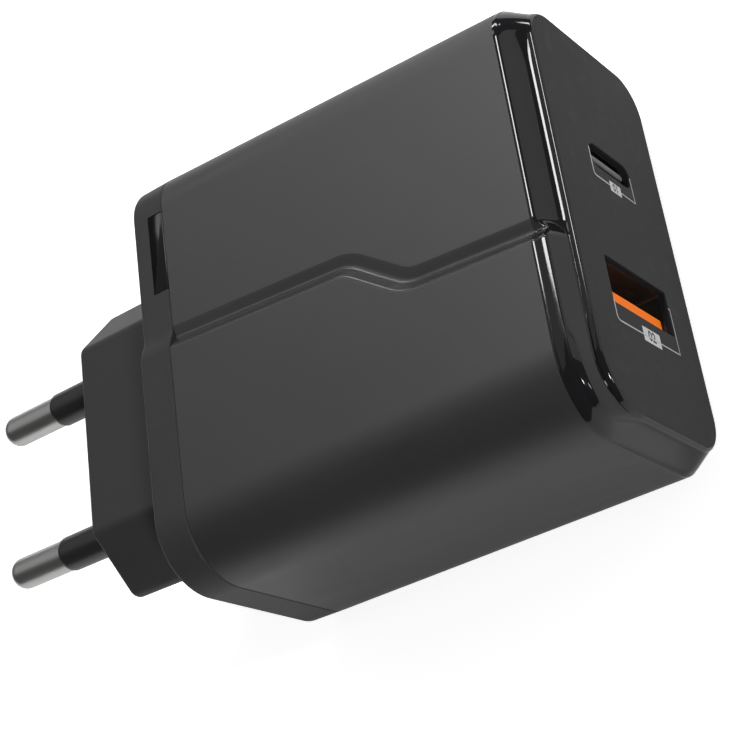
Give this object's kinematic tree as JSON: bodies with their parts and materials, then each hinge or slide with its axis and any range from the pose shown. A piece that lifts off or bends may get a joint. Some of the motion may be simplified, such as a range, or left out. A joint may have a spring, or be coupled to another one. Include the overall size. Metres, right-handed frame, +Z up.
{
  "type": "usb wall charger",
  "caption": "Dark grey plug-in wall charger with round sleeved pins, a stepped wave relief on the wide face, and a large and a small charging port in the front face.",
  "frame": {"origin": "under the middle of the bounding box, on the flat back face that the charger lies on", "axes": "+X from the plug pins towards the ports, +Y across the wide face towards the small port, +Z up out of the wide face with the relief"},
  "size_m": [0.0894, 0.0498, 0.0288],
  "materials": {
    "case": "fine matte grain, gloss on the front band",
    "panel": "satin, with light grey printed brackets and plain numerals",
    "cover": "fine matte grain",
    "pin_nickel": "bright nickel plate",
    "pin_sleeve": "smooth black",
    "spring_brass": "tinned spring brass",
    "smoked_window": "polished smoke tint",
    "led_lens": "clear epoxy",
    "nylon": "natural nylon",
    "board_laminate": "green solder mask",
    "insulator": "black fibre sheet",
    "black_resin": "moulded package",
    "varistor_epoxy": "blue epoxy dip",
    "thermistor_epoxy": "green epoxy dip",
    "yellow_box": "film capacitor box",
    "ferrite": "sintered ferrite",
    "copper_wire": "enamelled copper",
    "can_sleeve": "sleeved aluminium can",
    "yellow_tape": "polyester tape",
    "silicone_pad": "soft grey silicone",
    "bare_aluminium": "rolled",
    "port_steel": "plated sheet",
    "orange_plastic": "orange moulding",
    "port_black": "black moulding",
    "contact_gold": "gold flash"
  },
  "bodies": {
    "root": {"housing_shell": "case", "front_panel": "panel", "rear_cover": "cover", "line_pin": "pin_nickel", "neutral_pin": "pin_nickel", "line_pin_sleeve": "pin_sleeve", "neutral_pin_sleeve": "pin_sleeve", "line_contact_spring": "spring_brass", "neutral_contact_spring": "spring_brass", "indicator_window": "smoked_window", "indicator_led": "led_lens", "led_spacer": "nylon", "main_board": "board_laminate", "insulating_sheet": "insulator", "fuse": "black_resin", "varistor": "varistor_epoxy", "inrush_thermistor": "thermistor_epoxy", "x_capacitor": "yellow_box", "bridge_rectifier": "black_resin", "choke_core": "ferrite", "choke_winding": "copper_wire", "bulk_capacitor_rear": "can_sleeve", "bulk_capacitor_front": "can_sleeve", "transformer_core": "ferrite", "transformer_bobbin": "black_resin", "transformer_winding": "copper_wire", "transformer_tape": "yellow_tape", "power_transistor": "black_resin", "control_chip": "black_resin", "optocoupler": "black_resin", "y_capacitor": "varistor_epoxy", "output_capacitors": "can_sleeve", "chip_parts": "black_resin", "thermal_pad": "silicone_pad", "heat_spreader": "bare_aluminium", "port_board": "board_laminate", "protocol_chip": "black_resin", "usb_a_shell": "port_steel", "usb_a_tongue": "orange_plastic", "usb_a_contacts": "contact_gold", "usb_c_shell": "port_steel", "usb_c_tongue": "port_black", "usb_c_contacts": "contact_gold"}
  },
  "joints": []
}
